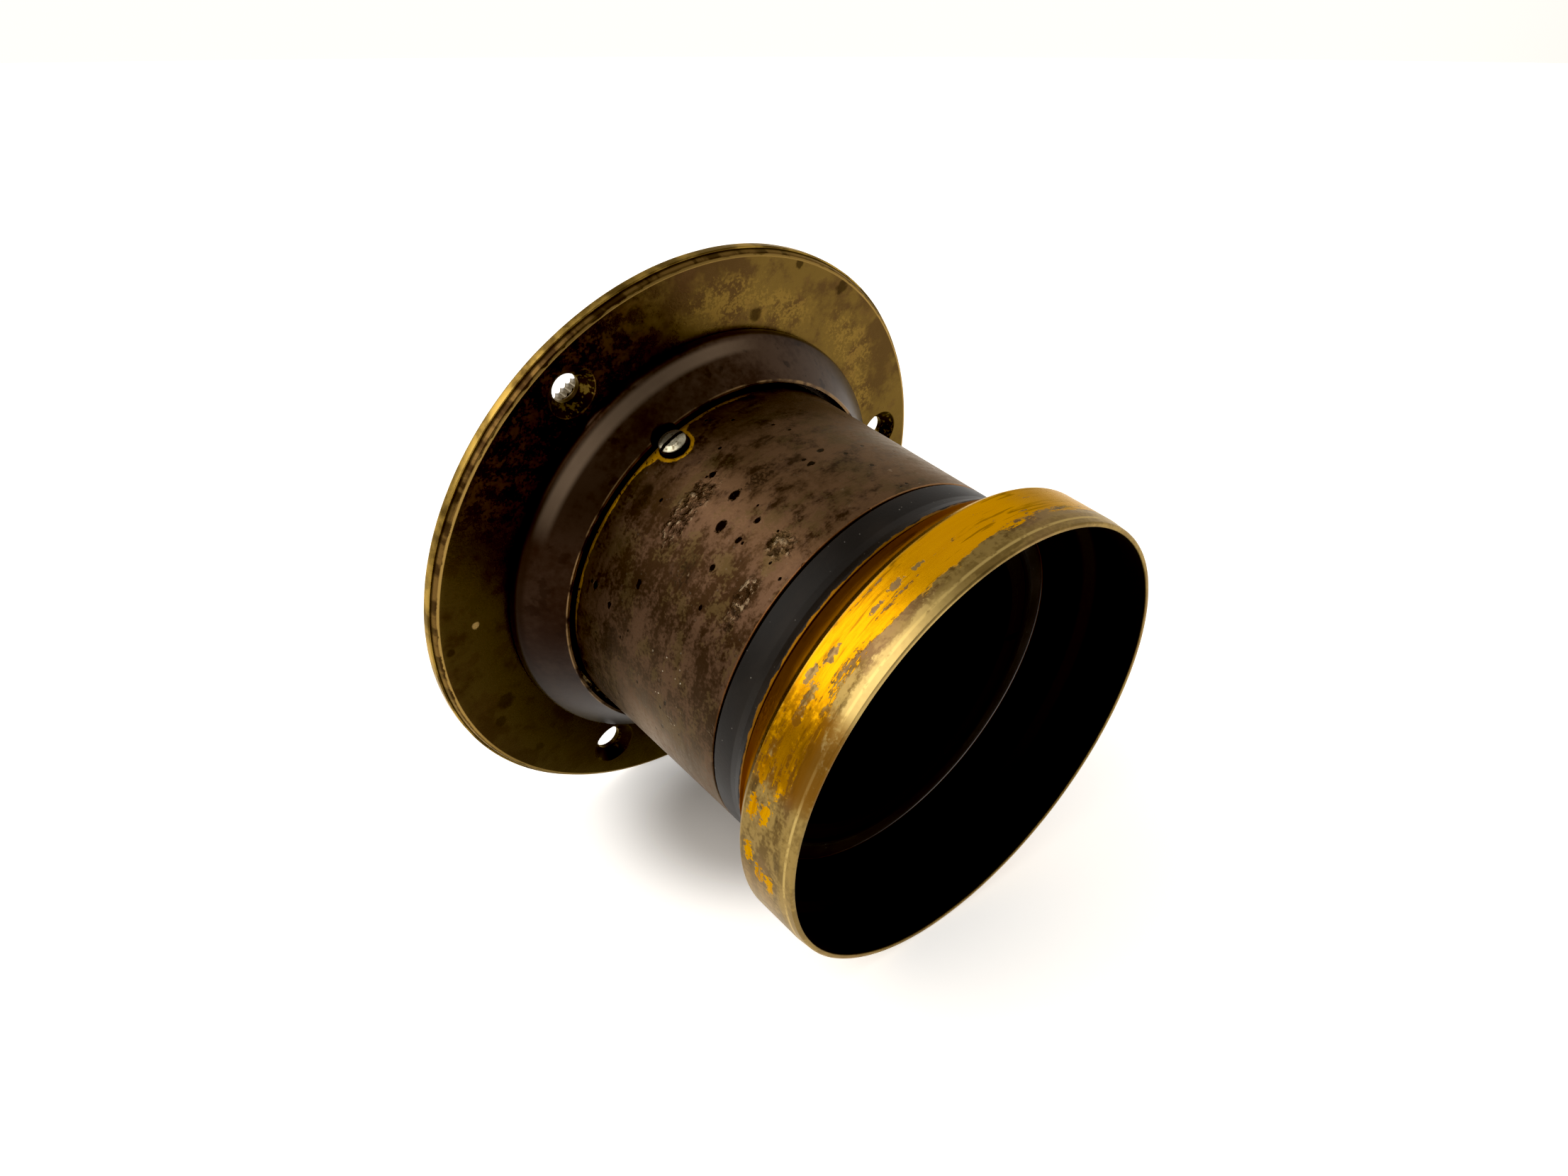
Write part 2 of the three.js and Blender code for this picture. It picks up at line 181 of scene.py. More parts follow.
def cut(obj, tools):
    """Takes the tools out of the object and deletes them."""
    for tool in tools:
        modifier = obj.modifiers.new("cut", "BOOLEAN")
        modifier.operation, modifier.solver, modifier.object = "DIFFERENCE", "EXACT", tool
    bpy.context.view_layer.update()
    mesh = bpy.data.meshes.new_from_object(obj.evaluated_get(bpy.context.evaluated_depsgraph_get()))
    obj.modifiers.clear()
    obj.data = shaded(mesh)
    for tool in tools:
        bpy.data.objects.remove(tool)
    return obj


def out_through(angle_deg, y):
    """Turns a shape built along the lens axis so that it points out through the barrel, in metres."""
    angle = math.radians(angle_deg)
    outward = Vector((math.sin(angle), math.cos(angle), 0))
    tangent = Vector((math.cos(angle), -math.sin(angle), 0))
    turn = Matrix((tangent, outward.cross(tangent), outward)).transposed().to_4x4()
    return Matrix.Translation((0, 0, y / 1000)) @ turn


def rod(name, radius, start, end, sides=96):
    return turned(name, [(0, start), (radius, start), (radius, end), (0, end)], sides)


def wobble(size, amount, seed):
    """A smooth random number in about ±amount, that varies over `size` along a circle or a cylinder."""
    def value(radius, angle, y):
        point = Vector((radius * math.sin(angle), radius * math.cos(angle), y)) / size
        return amount * noise.noise(point + Vector((seed, seed * 1.7, -seed)))
    return value


# ------------------------------------------------------------ materials


def display(r, g, b):
    """A colour as it looks on a display, 0 to 255, as the linear colour that a shader takes."""
    levels = (level / 255 for level in (r, g, b))
    return tuple(((v + 0.055) / 1.055) ** 2.4 if v > 0.04 else v / 12.92 for v in levels) + (1.0,)


class Value:
    """An output of a shader node that does arithmetic: + - * and / between values add math nodes."""

    def __init__(self, paint, socket):
        self.paint, self.socket = paint, socket

    def _math(self, operation, *operands, clamp=False):
        return self.paint.math(operation, *operands, clamp=clamp)

    def __add__(self, other):
        return self._math("ADD", self, other)

    def __sub__(self, other):
        return self._math("SUBTRACT", self, other)

    def __rsub__(self, other):
        return self._math("SUBTRACT", other, self)

    def __mul__(self, other):
        return self._math("MULTIPLY", self, other)

    def __truediv__(self, other):
        return self._math("DIVIDE", self, other)

    __radd__, __rmul__ = __add__, __mul__

    def clamped(self):
        return self._math("ADD", self, 0.0, clamp=True)

    def ramp(self, low, high):
        """0 below `low` and 1 above `high`, with a smooth step between, or falling where low > high."""
        return self.paint.ramp(self, low, high)


class Paint:
    """A procedural material under construction. Its coordinates are those of `place`, in millimetres.

    In LENS, z runs along the lens axis and radius is the distance from that axis.
    """

    def __init__(self, name, place=LENS):
        self.material = bpy.data.materials.new(name)
        self.material.use_nodes = True
        self.tree = self.material.node_tree
        self.tree.nodes.clear()
        from_origin = self.vector_math("SUBTRACT", self.node("ShaderNodeTexCoord").outputs["Object"],
                                       tuple(place.translation))
        self.x, self.y, self.z = (
            Value(self, self.vector_math("DOT_PRODUCT", from_origin, tuple(place.col[i].to_3d() * 1000)))
            for i in range(3))
        self.point = self.node("ShaderNodeCombineXYZ", X=self.x, Y=self.y, Z=self.z).outputs[0]
        self.radius = self.math("SQRT", self.x * self.x + self.y * self.y)

    def node(self, kind, settings=None, **inputs):
        made = self.tree.nodes.new(kind)
        for key, value in (settings or {}).items():
            setattr(made, key, value)
        for key, value in inputs.items():
            self.plug(made.inputs[key.replace("_", " ")], value)
        return made

    def plug(self, socket, value):
        if isinstance(value, Value):
            value = value.socket
        if isinstance(value, bpy.types.NodeSocket):
            self.tree.links.new(value, socket)
        else:
            socket.default_value = value

    def math(self, operation, *operands, clamp=False):
        made = self.node("ShaderNodeMath", {"operation": operation, "use_clamp": clamp})
        for socket, value in zip(made.inputs, operands):
            self.plug(socket, value)
        return Value(self, made.outputs[0])

    def vector_math(self, operation, a, b):
        made = self.node("ShaderNodeVectorMath", {"operation": operation})
        self.plug(made.inputs[0], a)
        self.plug(made.inputs[1], b)
        return made.outputs["Value" if operation == "DOT_PRODUCT" else "Vector"]

    def ramp(self, value, low, high):
        made = self.node("ShaderNodeMapRange", {"interpolation_type": "SMOOTHSTEP"}, Value=value)
        flip = low > high
        made.inputs["From Min"].default_value, made.inputs["From Max"].default_value = sorted((low, high))
        made.inputs["To Min"].default_value, made.inputs["To Max"].default_value = (1, 0) if flip else (0, 1)
        return Value(self, made.outputs["Result"])

    def mix(self, mask, a, b):
        """Colour a where the mask is 0 and b where it is 1."""
        made = self.node("ShaderNodeMix", {"data_type": "RGBA"})
        for index, value in ((0, mask), (6, a), (7, b)):            # the node's sockets for colours
            self.plug(made.inputs[index], value)
        return Value(self, made.outputs[2])

    def noise(self, size, stretch=(1, 1, 1), seed=0.0, detail=4.0, rough=0.55):
        """Noise of about 0.25 to 0.75 with features of `size`, longer along an axis where stretch is low."""
        vector = self.vector_math("MULTIPLY", self.point, tuple(s / size for s in stretch))
        vector = self.vector_math("ADD", vector, (seed, seed * 2.3, -seed * 1.1))
        made = self.node("ShaderNodeTexNoise", None, Vector=vector, Scale=1.0, Detail=detail, Roughness=rough)
        return Value(self, made.outputs[0])

    def cells(self, size, stretch=(1, 1, 1), seed=0.0):
        """The distance to the nearest of the points scattered about `size` apart, in those units."""
        vector = self.vector_math("MULTIPLY", self.point, tuple(s / size for s in stretch))
        vector = self.vector_math("ADD", vector, (seed, seed * 1.9, seed * 0.7))
        made = self.node("ShaderNodeTexVoronoi", None, Vector=vector, Scale=1.0)
        return Value(self, made.outputs["Distance"])

    def towards(self, angle_deg):
        """The cosine of the angle about the axis between a point and this direction."""
        angle = math.radians(angle_deg)
        return (self.x * math.sin(angle) + self.y * math.cos(angle)) / self.radius

    def spot(self, radius, angle_deg, y, size, ragged=0.0, grain=1.0, soft=0.3, stretch=(1, 1)):
        """1 near a point on the piece and 0 away from it, with an edge that is ragged by that share."""
        angle = math.radians(angle_deg)
        sin, cos = math.sin(angle), math.cos(angle)
        round_axis = self.x * cos - self.y * sin
        along = self.z - y
        outward = (self.x * sin + self.y * cos) - radius
        wide, long = stretch
        square = round_axis * round_axis * wide ** -2 + along * along * long ** -2 + outward * outward
        distance = self.math("SQRT", square)
        if ragged:
            distance = distance + (self.noise(grain, seed=radius + angle_deg + y) - 0.5) * (2 * ragged * size)
        return distance.ramp(size * (1 + soft), size * (1 - soft))

    def finish(self, base, metallic, roughness, height=None, **others):
        """Ends the material in one Principled shader. `height` is the relief in millimetres."""
        shader = self.node("ShaderNodeBsdfPrincipled", None, Base_Color=base, Metallic=metallic,
                           Roughness=roughness, **others)
        if height is not None:
            bump = self.node("ShaderNodeBump", None, Strength=1.0, Distance=0.001, Height=height)
            self.plug(shader.inputs["Normal"], bump.outputs[0])
        output = self.node("ShaderNodeOutputMaterial")
        self.tree.links.new(shader.outputs[0], output.inputs["Surface"])
        return self.material


ALONG_RINGS = (0.12, 0.12, 1)       # stretches noise along the turning marks


def aged_brass():
    p = Paint("aged_brass")
    blotch, mottle = p.noise(8, seed=3.1, detail=6), p.noise(2.2, seed=8.4, detail=7, rough=0.65)
    fine = p.noise(0.5, seed=1.7, detail=3)
    inset = FLANGE_R - p.radius                              # how far in from the rim
    # the flange is painted lighter towards the top right: a painted reflection of the white floor
    lit_side = (p.towards(30) + (blotch - 0.5) * 0.5).ramp(0.25, 0.95)
    khaki = p.mix(lit_side, display(58, 45, 18), display(94, 74, 35))
    brown = p.mix(lit_side, display(42, 28, 12), display(72, 53, 29))
    base = p.mix((blotch + mottle * 0.5 - 0.25).ramp(0.56, 0.40), khaki, brown)
    plum = p.noise(6, seed=15.2, detail=6) + (mottle - 0.5) * 0.6
    base = p.mix(plum.ramp(0.55, 0.64) * 0.4, base, p.mix(lit_side, display(44, 26, 14), display(78, 54, 34)))
    for radius, angle, size in ((36.3, 0, 3.2), (35, 17, 2.6), (36, 43, 3.0), (33.5, 58, 2.2)):
        bright = p.spot(radius, angle, 0, size, 0.9, 1.0, 0.4, stretch=(2.0, 1))
        bright = bright * (mottle + fine - 0.5).ramp(0.44, 0.60)
        base = p.mix(bright * 0.55, base, display(126, 100, 46))
    for radius, angle, size in ((40.8, -98, 0.6), (36.5, -118, 1.3), (38.8, -122, 0.8), (38.7, -137, 0.7),
                                (41.5, 17, 0.6), (34, 9, 1.0), (41, 31, 1.0), (31.8, -78, 1.6)):
        base = p.mix(p.spot(radius, angle, 0, size, 0.7, 0.8) * 0.75, base, display(22, 12, 6))
    base = p.mix(p.spot(36.9, -94, 0, 0.5, 0.4, 0.5), base, display(170, 140, 84))

    # the rounded corner is worn bright, the slope below it is mixed and the lip has a line of painted shade at
    # its foot
    corner = (p.noise(2.2, seed=22.0, detail=5) - (0.9 - inset) * 0.8).ramp(0.30, 0.42)
    corner = corner * inset.ramp(1.1, 0.97)
    base = p.mix(corner, base, display(146, 118, 64))
    slope = p.noise(2.6, (1, 1, 0.3), seed=5.5, detail=6).ramp(0.42, 0.56)
    base = p.mix(inset.ramp(0.8, 0.65), base, p.mix(slope, display(52, 36, 19), display(98, 74, 38)))
    rim = p.noise(5, seed=41.0, detail=6).ramp(0.38, 0.6)
    base = p.mix(inset.ramp(0.33, 0.21), base, p.mix(rim, display(74, 56, 24), display(150, 122, 58)))
    groove_shade = inset.ramp(0.43, 0.35) * inset.ramp(0.19, 0.25)
    base = p.mix(groove_shade * 0.8, base, display(10, 6, 3))

    # the countersinks are dirty and painted dark with painted shade; the flange has painted shade low down and
    # to the left
    before_back = p.z.ramp(0.05 - FLANGE_THICK, 0.15 - FLANGE_THICK)
    sunk = p.z.ramp(-0.04, -0.14) * before_back * inset.ramp(1.75, 2.15)
    recess_dark = p.mix((mottle + (fine - 0.5) * 0.5).ramp(0.52, 0.62), display(22, 13, 6), display(104, 84, 36))
    base = p.mix(sunk, base, recess_dark)
    # painted shade low down: a painted dark reflection of the shaded floor
    base = p.mix(p.towards(-165).ramp(0.60, 0.96) * 0.65, base, display(20, 13, 5))
    face = inset.ramp(0.95, 1.95)
    # painted shade to the left: a painted dark reflection of the barrel
    base = p.mix(p.towards(-85).ramp(0.45, 0.90) * face * 0.30, base, display(22, 12, 4))
    film = p.towards(-46).ramp(0.86, 0.99) * (mottle + (fine - 0.5) * 0.6).ramp(0.46, 0.62) * face
    base = p.mix(film * (1 - sunk) * 0.5, base, display(118, 80, 42))
    rough = 0.26 + (mottle - 0.5) * 0.35 + (fine - 0.5) * 0.15
    rough = rough + corner * 0.06 + lit_side * 0.06 + sunk * 0.15 + film * 0.07
    height = (mottle - 0.5) * 0.02 + (fine - 0.5) * 0.012
    return p.finish(base, 1.0, rough, height, Specular_Tint=(1, 0.85, 0.6, 1))


def collar_patina():
    p = Paint("collar_patina")
    blotch, fine = p.noise(7, (0.5, 0.5, 1), seed=2.2, detail=6), p.noise(0.9, seed=4.0, detail=4)
    base = p.mix((blotch + (fine - 0.5) * 0.3).ramp(0.38, 0.64), display(42, 27, 18), display(70, 54, 42))
    stains = p.noise(2.6, seed=12.0, detail=5).ramp(0.58, 0.66)
    base = p.mix(stains * 0.6, base, display(22, 14, 10))
    # painted shade: the collar is darker to the left, towards the bottom and on its outer wall on the left
    base = p.mix(p.towards(-105).ramp(0.1, 0.85) * 0.75, base, display(22, 12, 8))
    base = p.mix(p.towards(-170).ramp(0.72, 0.98) * 0.6, base, display(34, 25, 15))
    inset = COLLAR_BASE_R - p.radius                         # how far in from the foot of the collar
    base = p.mix(inset.ramp(1.0, 0.5) * p.towards(-100).ramp(0.3, 0.8) * 0.7, base, display(22, 13, 8))
    # a painted highlight along the rounded shoulder at the upper left
    ridge = inset.ramp(1.9, 1.3) * inset.ramp(0.2, 0.7) * p.towards(-32).ramp(0.74, 0.97)
    base = p.mix(ridge * (0.55 + blotch * 0.4), base, display(138, 118, 98))
    worn = p.z.ramp(COLLAR_HEIGHT - 0.16, COLLAR_HEIGHT - 0.06) * p.noise(3, seed=6.5).ramp(0.4, 0.6)
    base = p.mix(worn * 0.6, base, display(140, 112, 76))
    height = (fine - 0.5) * 0.006 + (blotch - 0.5) * 0.015
    return p.finish(base, 1.0, 0.33 + (blotch - 0.5) * 0.2, height)


def bare_brass():
    """The rear cell, with a greyer milled rim, and the thread ring, which has painted shade where it lies
    beneath the collar.
    """
    p = Paint("bare_brass")
    stain = p.noise(5, seed=6.0, detail=5)
    base = p.mix(stain.ramp(0.40, 0.65), display(160, 134, 80), display(98, 78, 44))
    base = p.mix(p.radius.ramp(RIM_R - 1.4, RIM_R - 0.9), base, display(120, 112, 96))
    # painted shade on the thread ring where it lies beneath the collar
    recess_dark = p.z.ramp(2.0, 3.0) * (p.noise(2, seed=18.0, detail=5) - p.towards(-80) * 0.15).ramp(0.30, 0.42)
    base = p.mix(recess_dark, base, display(12, 8, 5))
    return p.finish(base, 1.0, 0.32 + (stain - 0.5) * 0.3, p.noise(0.8, ALONG_RINGS, seed=9.0) * 0.02)


def bronzed_barrel():
    p = Paint("bronzed_barrel")
    blotch = p.noise(7.0, (0.8, 0.8, 1), seed=11.0, detail=7, rough=0.6)
    mottle = p.noise(2.0, (0.6, 0.6, 1), seed=16.0, detail=8, rough=0.7)
    streak = p.noise(0.7, (0.15, 0.15, 1), seed=7.0, detail=4)
    fine = p.noise(0.45, seed=13.0, detail=4)
    tone = blotch + (mottle - 0.5) * 0.7 + (streak - 0.5) * 0.3 + (fine - 0.5) * 0.5
    base = p.mix(tone.ramp(0.38, 0.62), display(38, 25, 14), display(72, 53, 39))
    # lighter mottles towards the top: mottling with a painted sheen
    base = p.mix(p.towards(-8).ramp(0.72, 0.98) * mottle.ramp(0.36, 0.56) * 0.5, base, display(104, 78, 54))
    olive = p.noise(3.2, (0.6, 0.6, 1), seed=44.0, detail=6) + (fine - 0.5) * 0.4
    base = p.mix(olive.ramp(0.52, 0.62) * 0.5, base, display(72, 58, 34))
    old = (p.z + (blotch - 0.5) * 26).ramp(17, 9) * p.towards(-10).ramp(-0.2, 0.8)
    base = p.mix(old * mottle.ramp(0.40, 0.58) * 0.55, base, display(44, 30, 14))

    # stains, pits, and crackled patches whose light specks are painted glints
    stained = (mottle + fine - 0.5).ramp(0.40, 0.60)
    for angle, y, size, wide in ((-57, 22.5, 1.6, 1.5), (-24, 22, 1.2, 2.2), (-48, 10.5, 0.9, 2.6),
                                 (-88, 15, 1.4, 1.5)):
        stain = p.spot(BARREL_R, angle, y, size, 0.7, 1.6, stretch=(wide, 1)) * stained
        base = p.mix(stain * 0.8, base, display(18, 11, 6))
    pit = (p.cells(2.6, (0.8, 0.8, 1.2), seed=2.0) + (mottle - 0.5) * 0.25).ramp(0.105, 0.075)
    for y, angle, size in ((16.6, -32, 0.4), (21.4, -33, 0.6), (23.2, -42, 0.6), (26.7, -35, 0.35),
                           (26.6, -42, 0.35), (26, -52, 0.35), (17.1, -68, 0.4), (10, -77, 0.4),
                           (13.4, -79, 0.35), (24.7, -12, 0.4), (23.3, -6, 0.35)):
        pit = pit + p.spot(BARREL_R, angle, y, size, 0.8, 0.6, 0.2, stretch=(1.5, 0.9))
    pit = pit.clamped()
    base = p.mix(pit, base, display(4, 3, 3))
    crackle = p.noise(4, seed=31.0).ramp(0.66, 0.72) * 0.5
    for angle, y, size, ragged_size, stretch in (
            (-44, 17.5, 1.6, 1.2, (3.2, 1)), (-54, 32.3, 1.2, 1.0, (3.2, 1)),
            (-37, 31.5, 1.1, 1.0, (1.6, 1.6))):
        crackle = crackle + p.spot(BARREL_R, angle, y, size, 0.9, ragged_size, stretch=stretch)
    grain = p.noise(0.8, (0.7, 0.7, 1), seed=5.0, detail=4)
    base = p.mix(crackle.clamped() * grain.ramp(0.52, 0.42) * 0.6, base, display(10, 7, 5))
    # the light specks in the crackle are painted glints
    base = p.mix(crackle.clamped() * grain.ramp(0.56, 0.66) * 0.6, base, display(130, 112, 88))
    flecks = (p.cells(1.1, seed=9.0) + (fine - 0.5) * 0.5).ramp(0.11, 0.05)
    flecks = flecks * (p.spot(BARREL_R, -90, 26, 3.2, 0.5, 2.0, stretch=(1.8, 1.2)) + 0.04)
    base = p.mix(flecks.clamped(), base, display(170, 160, 140))

    # old lacquer along the collar and round the screw, with painted shade round the screw's head and in the gap
    # at the collar
    around = from_screw(p)
    limit = p.towards(-46).ramp(0.55, 0.80) * 0.2 + p.towards(-33).ramp(0.985, 0.998) * 0.9
    limit = limit + COLLAR_HEIGHT + 0.4
    ragged = p.z + (p.noise(1.8, seed=17.0, detail=6) - 0.5) * 0.9
    lacquer = (limit - ragged).ramp(-0.1, 0.1) * p.towards(-50).ramp(0.60, 0.74)
    lacquer = (lacquer + (around + (fine - 0.5) * 0.5).ramp(NOTCH_R + 0.05, NOTCH_R - 0.15)).clamped()
    before_flange = p.z.ramp(-FLANGE_THICK, -FLANGE_THICK + 0.3)
    base = p.mix(lacquer * fine.ramp(0.34, 0.42) * before_flange, base, display(204, 150, 32))
    shade_round_head = around.ramp(SCREW_HEAD_R + 0.35, SCREW_HEAD_R + 0.15)
    collar_gap_shade = p.z.ramp(COLLAR_HEIGHT + 0.2, COLLAR_HEIGHT + 0.1) * before_flange
    base = p.mix((shade_round_head + collar_gap_shade).clamped(), base, display(5, 4, 3))
    # the worn front edge is coppery on the upper side, painted lighter towards the top right as a painted
    # highlight
    worn = (p.z + (p.noise(1.2, seed=19.0) - 0.5) * 0.3).ramp(BARREL_FRONT - 0.25, BARREL_FRONT - 0.12)
    coppery_wear_and_sheen = p.mix(p.towards(35).ramp(0.5, 0.9), display(110, 72, 42), display(164, 122, 84))
    base = p.mix(worn * p.towards(-20).ramp(0.2, 0.8) * 0.7, base, coppery_wear_and_sheen)

    inside = p.radius.ramp(BARREL_R - 0.5, BARREL_R - 0.8)
    base = p.mix(inside, base, display(3, 3, 3))
    rough = 0.38 + (streak - 0.5) * 0.25 + (mottle - 0.5) * 0.3 + (fine - 0.5) * 0.25
    rough = rough - crackle * 0.1 + inside * 0.3
    height = (fine - 0.5) * 0.014 + (streak - 0.5) * 0.008 + (mottle - 0.5) * 0.012 - pit * 0.06
    height = height + crackle * (grain - 0.5) * 0.45
    return p.finish(base, 1 - inside, rough, height, Specular_IOR_Level=0.04, Specular_Tint=(1, 0.9, 0.78, 1))


def from_screw(p):
    """The distance from the locking screw's axis, on the barrel."""
    angle = math.radians(SCREW_ANGLE)
    aside, along = p.x * math.cos(angle) - p.y * math.sin(angle), p.z - SCREW_Y
    return p.math("SQRT", aside * aside + along * along)


def nickelled_screw():
    p = Paint("nickelled_screw", LENS @ out_through(SCREW_ANGLE, SCREW_Y))
    fine = p.noise(0.5, seed=3.0, detail=4)
    base = p.mix(fine.ramp(0.5, 0.7), display(176, 170, 148), display(110, 102, 80))
    slot_floor = BARREL_R + FIT + SCREW_HEAD_HEIGHT - SLOT_DEPTH
    # the slot's floor is painted dark
    recess_dark = p.z.ramp(slot_floor + 0.15, slot_floor)
    base = p.mix(recess_dark, base, display(8, 6, 4))
    return p.finish(base, 1.0, 0.3 + (fine - 0.5) * 0.2 + recess_dark * 0.3, (fine - 0.5) * 0.02)


def flat_black():
    p = Paint("flat_black")
    return p.finish(display(5, 5, 5), 0.0, 0.75, p.noise(0.3, seed=1.0) * 0.01, Specular_IOR_Level=0.05)


def black_enamel():
    p = Paint("black_enamel")
    blotch, fine = p.noise(4, (0.5, 0.5, 1), seed=4.0, detail=5), p.noise(0.4, seed=9.0, detail=3)
    base = p.mix(blotch.ramp(0.4, 0.7), display(9, 7, 5), display(22, 18, 14))
    lint = (p.cells(1.3, seed=8.0) + (fine - 0.5) * 0.2).ramp(0.075, 0.04)
    base = p.mix(lint * 0.5, base, display(110, 106, 100))
    edge = NOSE_FRONT - p.z - (p.noise(1.6, seed=14.0, detail=5) - 0.5)
    chipped = edge.ramp(0.55, 0.40) * p.radius.ramp(BARREL_R, BARREL_R + 0.2)
    base = p.mix(chipped * p.towards(-60).ramp(0.0, 0.6), base, display(110, 72, 12))
    inside = p.radius.ramp(GLASS_BORE_R + 0.7, GLASS_BORE_R + 0.4)
    base = p.mix(inside, base, display(3, 3, 3))
    rough = 0.42 + (blotch - 0.5) * 0.2 + inside * 0.4
    return p.finish(base, chipped * 0.9, rough, (fine - 0.5) * 0.012, Specular_IOR_Level=0.10)


def gold_lacquer():
    p = Paint("gold_lacquer")
    streak = p.noise(1.0, (0.10, 0.10, 1), seed=21.0, detail=9, rough=0.72)
    blotch, fine = p.noise(7, (0.5, 0.5, 1), seed=25.0, detail=5), p.noise(0.6, seed=27.0, detail=4)
    rub = p.noise(2.4, (0.4, 0.4, 1), seed=29.0, detail=7, rough=0.7) + (fine - 0.5) * 0.4
    bare = p.mix(rub.ramp(0.42, 0.58), display(132, 110, 62), display(88, 68, 34))
    bare = p.mix(blotch.ramp(0.46, 0.60) * 0.55, bare, display(118, 90, 64))
    # a narrow band on the left painted darker: a painted dark reflection
    amber = p.towards(-69).ramp(0.975, 0.994) * rub.ramp(0.32, 0.46)
    bare = p.mix(amber * 0.8, bare, display(104, 68, 12))
    lacquer = p.mix(streak.ramp(0.4, 0.65), display(186, 134, 10), display(158, 104, 8))
    # the lacquer is painted lighter at the top, a painted highlight, and duller to the right, painted shade
    lacquer = p.mix(p.towards(-8).ramp(0.86, 1.0) * 0.8, lacquer, display(216, 152, 20))
    lacquer = p.mix(p.towards(34).ramp(0.78, 0.99) * 0.75, lacquer, display(146, 108, 60))
    scratch = p.noise(0.35, (0.05, 0.05, 1), seed=37.0, detail=3) + (blotch - 0.5) * 0.2
    lacquer = p.mix(scratch.ramp(0.60, 0.68) * 0.6, lacquer, display(112, 74, 12))

    # the lacquer is worn off along the front, in patches, and everywhere low on the left but for a few spots
    tatters = (streak - 0.5) * 4.0 + (blotch - 0.5) * 2.5 + (fine - 0.5) * 0.8
    front_wear = (p.z + tatters).ramp(HOOD_EDGE - 2.8, HOOD_EDGE - 2.6)
    rubbed = p.towards(-48).ramp(0.85, 0.98) * 0.06 + p.z.ramp(HOOD_RIDGE + 1.6, HOOD_RIDGE + 4.6) * 0.04
    patches = (streak + rubbed + (fine - 0.5) * 0.25).ramp(0.655, 0.675)
    patches = patches * p.z.ramp(HOOD_RIDGE + 0.6, HOOD_RIDGE + 1.2)
    for y, angle, size in ((49.8, -32, 0.45), (49.9, -26, 0.35), (49.4, -50, 0.5), (50, -38, 0.35),
                           (48.6, -55.5, 0.5), (49.8, -59, 0.6), (50, -64, 0.5)):
        patches = patches + p.spot(HOOD_R, angle, y, size, 1.6, 0.6, 0.15, stretch=(2.4, 0.9))
    below = (p.towards(-130) + (streak - 0.5) * 1.2 + (fine - 0.5) * 0.5).ramp(0.53, 0.57)
    for y, angle in ((48.7, -77), (48.7, -86), (50.6, -86), (51.6, -77), (48.9, -99), (50.6, -103),
                     (52.2, -104)):
        below = below - p.spot(HOOD_R, angle, y, 0.75, 1.8, 0.6, 0.15, stretch=(2.0, 0.9))
    worn = (front_wear + patches + below.clamped()).clamped()
    ridge = p.z.ramp(HOOD_RIDGE - 0.5, HOOD_RIDGE - 0.1) * p.z.ramp(HOOD_RIDGE + 0.75, HOOD_RIDGE + 0.35)
    base = p.mix(worn, lacquer, bare)
    base = p.mix(ridge * 0.8, base, display(134, 110, 60))

    # behind the ridge is the amber cove, painted darker towards the cell and the top right as painted shade; in
    # front of it are grime, a paler band, a painted highlight and a crease with a painted highlight
    cove = p.z.ramp(HOOD_RIDGE - 0.2, HOOD_RIDGE - 0.6)
    out_of_cove = (p.z + (streak - 0.5) * 1.6).ramp(HOOD_BACK + 1.4, HOOD_RIDGE - 0.4)
    deep = p.mix(out_of_cove, display(92, 56, 6), display(176, 116, 8))
    base = p.mix(cove, base, p.mix(p.towards(20).ramp(0.7, 1.0), deep, display(112, 72, 6)))
    grime = (p.noise(1.6, (0.2, 0.2, 1), seed=33.0, detail=6) + worn * 0.03).ramp(0.60, 0.68)
    base = p.mix(grime * 0.6, base, display(50, 34, 16))
    base = p.mix(p.z.ramp(HOOD_EDGE - 1.9, HOOD_EDGE - 1.2) * 0.35, base, display(150, 126, 72))
    # a painted highlight on the lip beside the mouth, at the upper left
    lip_highlight = (p.towards(-44) + (rub - 0.5) * 0.1).ramp(0.92, 0.985)
    lip_highlight = lip_highlight * (p.z + (rub - 0.5) * 5).ramp(HOOD_EDGE - 1.7, HOOD_EDGE - 0.8)
    base = p.mix(lip_highlight * 0.55, base, display(200, 174, 108))
    # a painted highlight along the crease behind the lip
    crease = p.z.ramp(HOOD_EDGE - 0.95, HOOD_EDGE - 0.75) * p.z.ramp(HOOD_EDGE - 0.45, HOOD_EDGE - 0.6)
    base = p.mix(crease * rub.ramp(0.40, 0.52) * 0.7, base, display(196, 170, 104))
    # the painted dark reflection band on the left, also over the lacquer
    base = p.mix(amber * 0.75, base, display(98, 62, 8))
    tint = p.mix(cove, p.mix(worn, (1, 0.8, 0.45, 1), (1, 0.9, 0.72, 1)), (0.5, 0.3, 0.06, 1))

    # the inside is blackened: below a cone in the cove and a cylinder in the cup, between the two surfaces
    between = p.math("MINIMUM", (p.z - HOOD_BACK - 0.9) * 1.05 + (HOOD_THROAT_R - 0.1), HOOD_BORE_R + 0.35)
    inside = (between - p.radius).ramp(-0.1, 0.15) * p.z.ramp(HOOD_FRONT - 0.05, HOOD_FRONT - 0.25)
    base = p.mix(inside, base, display(3, 3, 3))
    rough = 0.27 + worn * 0.08 + cove * 0.25 + inside * 0.35 + (fine - 0.5) * 0.15
    height = (streak - 0.5) * 0.02 + (fine - 0.5) * 0.008 - worn * 0.01
    return p.finish(base, 1 - inside, rough, height, Specular_IOR_Level=0.05, Specular_Tint=tint)


def optical_glass(name, tint, index):
    p = Paint(name)
    return p.finish(tint, 0.0, 0.02, None, Transmission_Weight=1.0, IOR=index, Specular_IOR_Level=0.06)


